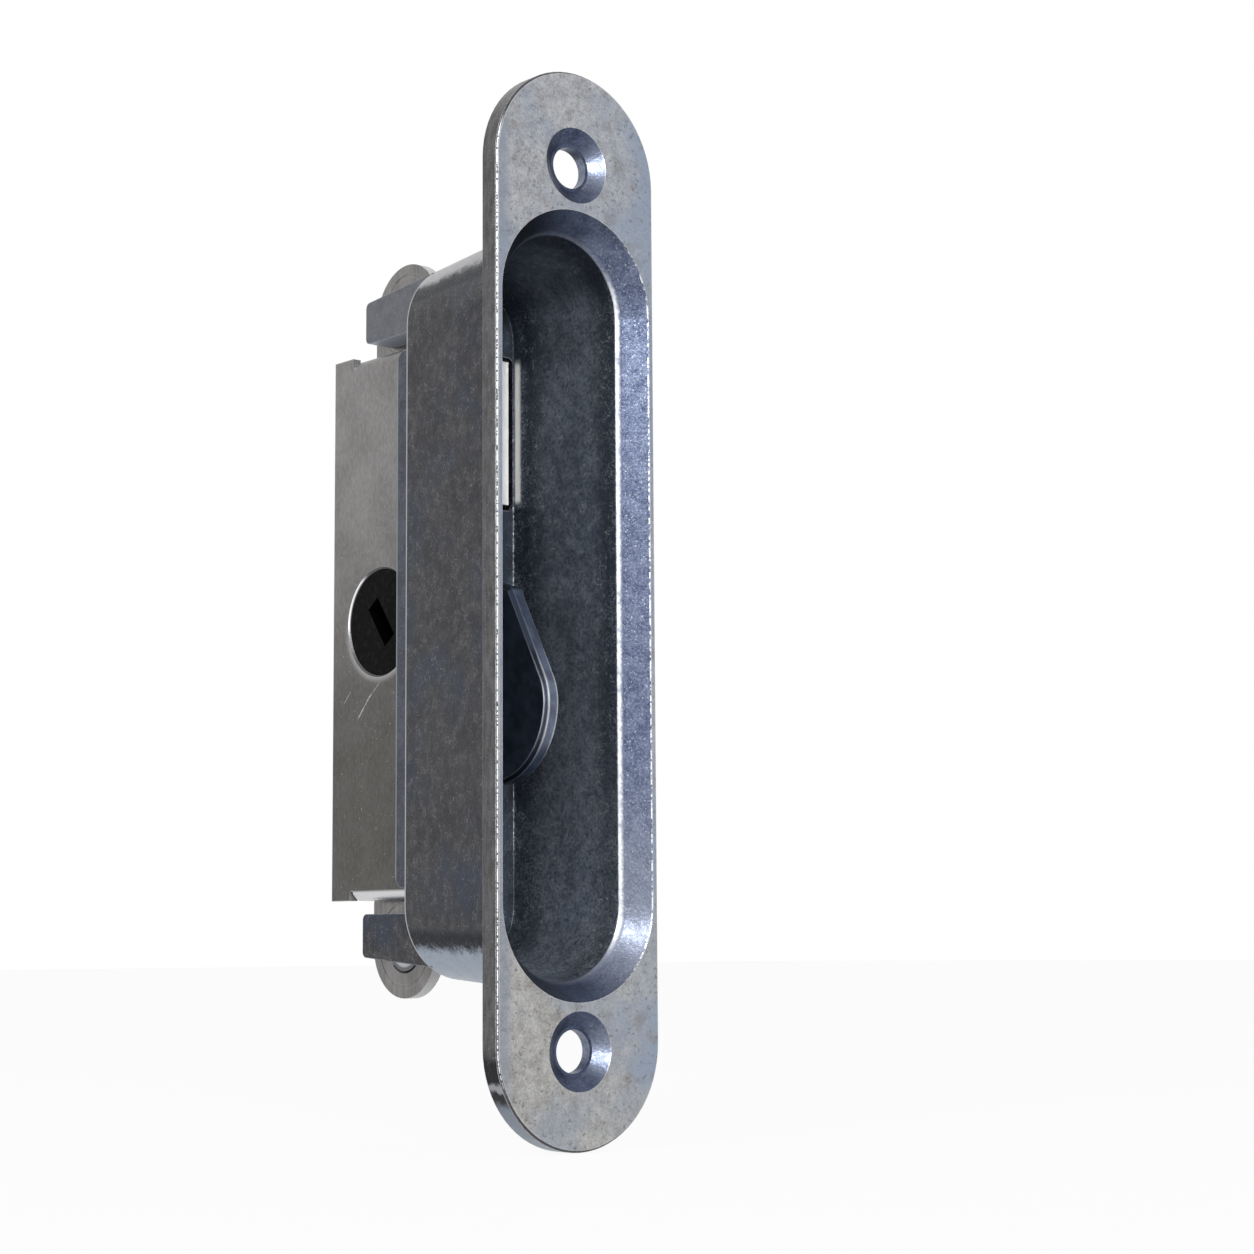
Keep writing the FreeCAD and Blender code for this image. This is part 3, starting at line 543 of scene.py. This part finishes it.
colour = with_bright_edges(with_scratches(sheet_colour()))
sheet.coat(metallic=0.92, roughness=0.36, colour=colour)
sheet.bump(brushed, 0.00001)
dress("case_left_shell", sheet)


# The case's far side, with the rear wall and both ears: the same sheet, left as it came
# from the press, with bright sheared edges.
rear_sheet = Finish("ear_sheet")
pressed_dark, pressed_light = (0.165, 0.160, 0.158), (0.255, 0.248, 0.245)
sheared_grey, worn_grey, tab_grey = (0.52, 0.52, 0.52), (0.60, 0.60, 0.60), (0.60, 0.60, 0.61)
patches = rear_sheet.span(rear_sheet.grain(320.0, 5.0), 0.30, 0.70)
drawn = rear_sheet.span(rear_sheet.grain(1800.0, 5.0, (1, 1, 0.15)), 0.33, 0.67)
mixed = rear_sheet.plus(rear_sheet.times(patches, 0.5), rear_sheet.times(drawn, 0.5))
colour = rear_sheet.tint(mixed, pressed_dark, pressed_light)
sheared = rear_sheet.below(rear_sheet.absolute(rear_sheet.facing_x), 0.5)
colour = rear_sheet.tint(rear_sheet.times(sheared, 0.7), colour, sheared_grey)
colour = rear_sheet.tint(rear_sheet.times(rear_sheet.wear(0.0001), 0.25), colour, worn_grey)
tab_end = rear_sheet.below(rear_sheet.facing_y, -0.5)
colour = rear_sheet.tint(tab_end, colour, tab_grey)
metallic = rear_sheet.span(tab_end, 0.0, 1.0, 0.92, 0.1)
rear_sheet.coat(metallic=metallic, roughness=0.33, colour=colour)
dress("case_right_shell", rear_sheet)


# The hub: a black sintered cylinder that turns in the case, with a slot for the tailpiece.
# The slot's own walls are painted darker still, as shade.
slot_reach = 0.0050
clean_black, dusty_black = (0.005, 0.005, 0.0055), (0.012, 0.012, 0.013)
slot_shade_black = (0.001, 0.001, 0.001)
black = Finish("hub_black")
dust = black.span(black.grain(1300.0, 4.0), 0.45, 0.72)
colour = black.tint(dust, clean_black, dusty_black)
from_axis = black.radius(black.minus(black.inward, hub_inward), black.height)
# The slot is painted darker, as shade.
in_slot = black.times(black.below(black.absolute(black.facing_x), 0.5),
                      black.below(from_axis, slot_reach))
colour = black.tint(in_slot, colour, slot_shade_black)
black.shader.inputs["Specular IOR Level"].default_value = 0.02
black.coat(metallic=0.0, roughness=0.50, colour=colour)
dress("cylinder_hub", black)


# The hook: a thick stamped steel plate with a bevelled nose, dark plated, bright on its edges.
# The nose has a dark chamfer; above it the same chamfer is as light as the rolled edge.
hook_steel = Finish("hook_steel")
rolled_dark, rolled_light = (0.080, 0.098, 0.145), (0.150, 0.178, 0.245)
flat_dark, flat_light = (0.110, 0.140, 0.210), (0.190, 0.240, 0.340)
chamfer_dark, chamfer_light = (0.034, 0.044, 0.070), (0.100, 0.122, 0.175)
bright_steel, faint_wear, nose_wear = (0.90, 0.92, 0.95), 0.00022, 0.00045
patches = hook_steel.span(hook_steel.grain(420.0, 4.0), 0.35, 0.65)
sideways = hook_steel.absolute(hook_steel.facing_x)
upper = hook_steel.span(hook_steel.height, -0.0065, -0.0045)
flat = hook_steel.tint(hook_steel.below(sideways, 0.98),
                       hook_steel.tint(patches, flat_dark, flat_light),
                       hook_steel.tint(upper, chamfer_dark, chamfer_light))
colour = hook_steel.tint(hook_steel.above(sideways, 0.5),
                         hook_steel.tint(patches, rolled_dark, rolled_light), flat)
# The edges are rubbed, and a painted highlight brightens them, most along the nose.
nose = hook_steel.times(hook_steel.span(hook_steel.height, -0.0050, -0.0090),
                        hook_steel.span(hook_steel.height, -0.0200, -0.0165))
rubbed_and_highlit = hook_steel.times(hook_steel.wear(hook_steel.span(nose, 0.0, 1.0, faint_wear, nose_wear)),
                          hook_steel.span(upper, 0.0, 1.0, 1.0, 0.45))
colour = hook_steel.tint(rubbed_and_highlit, colour, bright_steel)
hook_steel.coat(metallic=0.92, roughness=0.30, colour=colour)
dress("hook_bolt", hook_steel)


# Inside the closed case: cam, spacer, washers, pins, posts and the over-centre spring.
# All are plain steel, as are the push nuts that hold the ears on the studs, on the far side.
plain_steel = Finish("plain_steel")
patches = plain_steel.span(plain_steel.grain(300.0, 3.0), 0.35, 0.65)
steel_dark, steel_light = (0.22, 0.22, 0.23), (0.36, 0.36, 0.36)
colour = plain_steel.tint(patches, steel_dark, steel_light)
plain_steel.coat(metallic=0.92, roughness=0.35, colour=colour)
dressed = ("faceplate_casting", "case_left_shell", "case_right_shell", "cylinder_hub",
           "hook_bolt")
for name in nodes:
    if name not in dressed:
        dress(name, plain_steel)


# The studio: a pale floor under the faceplate's foot, a white surround and soft lamps.
# The camera and the metal see floor and surround white; both light the lock less than that.
floor_z = cad_box[0][2] - 0.0001
floor_half = 3.0
white_colour, paper_colour = (1, 1, 1, 1), (0.9, 0.9, 0.9, 1)
floor_mesh = bpy.data.meshes.new("floor")
floor_shape = bmesh.new()
bmesh.ops.create_grid(floor_shape, x_segments=1, y_segments=1, size=floor_half,
                      matrix=Matrix.Translation((0, 0, floor_z)))
floor_shape.to_mesh(floor_mesh)
floor_shape.free()
floor = bpy.data.objects.new("floor", floor_mesh)
bpy.context.scene.collection.objects.link(floor)
world = bpy.data.worlds.new("studio")
bpy.context.scene.world = world
world.use_nodes = True
paper = bpy.data.materials.new("floor_paper")
paper.use_nodes = True
floor_mesh.materials.append(paper)


def seen_rays(tree):
    # 1 for the rays that see the backdrop: from the camera, and by way of metal or glass.
    rays = tree.nodes.new("ShaderNodeLightPath")
    result = rays.outputs["Is Camera Ray"]
    for name in ("Is Glossy Ray", "Is Transmission Ray"):
        either = tree.nodes.new("ShaderNodeMath")
        either.operation = "MAXIMUM"
        tree.links.new(result, either.inputs[0])
        tree.links.new(rays.outputs[name], either.inputs[1])
        result = either.outputs[0]
    return result


def level(tree, low, high):
    # The level high for the rays that see the backdrop, and low for all others.
    node = tree.nodes.new("ShaderNodeMapRange")
    node.inputs["To Min"].default_value = low
    node.inputs["To Max"].default_value = high
    tree.links.new(seen_rays(tree), node.inputs["Value"])
    return node.outputs[0]


def lamp(name, place, size, watts):
    # A square soft lamp that looks at the lock's middle.
    data = bpy.data.lights.new(name, "AREA")
    data.size = size
    data.energy = watts
    thing = bpy.data.objects.new(name, data)
    thing.location = place
    thing.rotation_euler = (-Vector(place)).to_track_quat("-Z", "Y").to_euler()
    bpy.context.scene.collection.objects.link(thing)


sky = world.node_tree.nodes["Background"]
sky.inputs["Color"].default_value = white_colour
surround_light, surround_seen, paper_light, paper_seen = 0.45, 1.0, 0.0, 0.93
sky_level = level(world.node_tree, surround_light, surround_seen)
world.node_tree.links.new(sky_level, sky.inputs["Strength"])
tree = paper.node_tree
matt_paper = tree.nodes["Principled BSDF"]
matt_paper.inputs["Base Color"].default_value = paper_colour
matt_paper.inputs["Roughness"].default_value = 0.9
glow = tree.nodes.new("ShaderNodeEmission")
glow.inputs["Color"].default_value = white_colour
glow.inputs["Strength"].default_value = 1.0
blend = tree.nodes.new("ShaderNodeMixShader")
tree.links.new(level(tree, paper_light, paper_seen), blend.inputs[0])
tree.links.new(matt_paper.outputs[0], blend.inputs[1])
tree.links.new(glow.outputs[0], blend.inputs[2])
tree.links.new(blend.outputs[0], tree.nodes["Material Output"].inputs["Surface"])
lamp("key", (-0.46, -0.72, 0.22), size=0.22, watts=2.2)
lamp("left", (-0.74, -0.25, 0.44), size=0.25, watts=2.2)
lamp("front", (-0.34, -0.88, 0.09), size=0.14, watts=2.6)
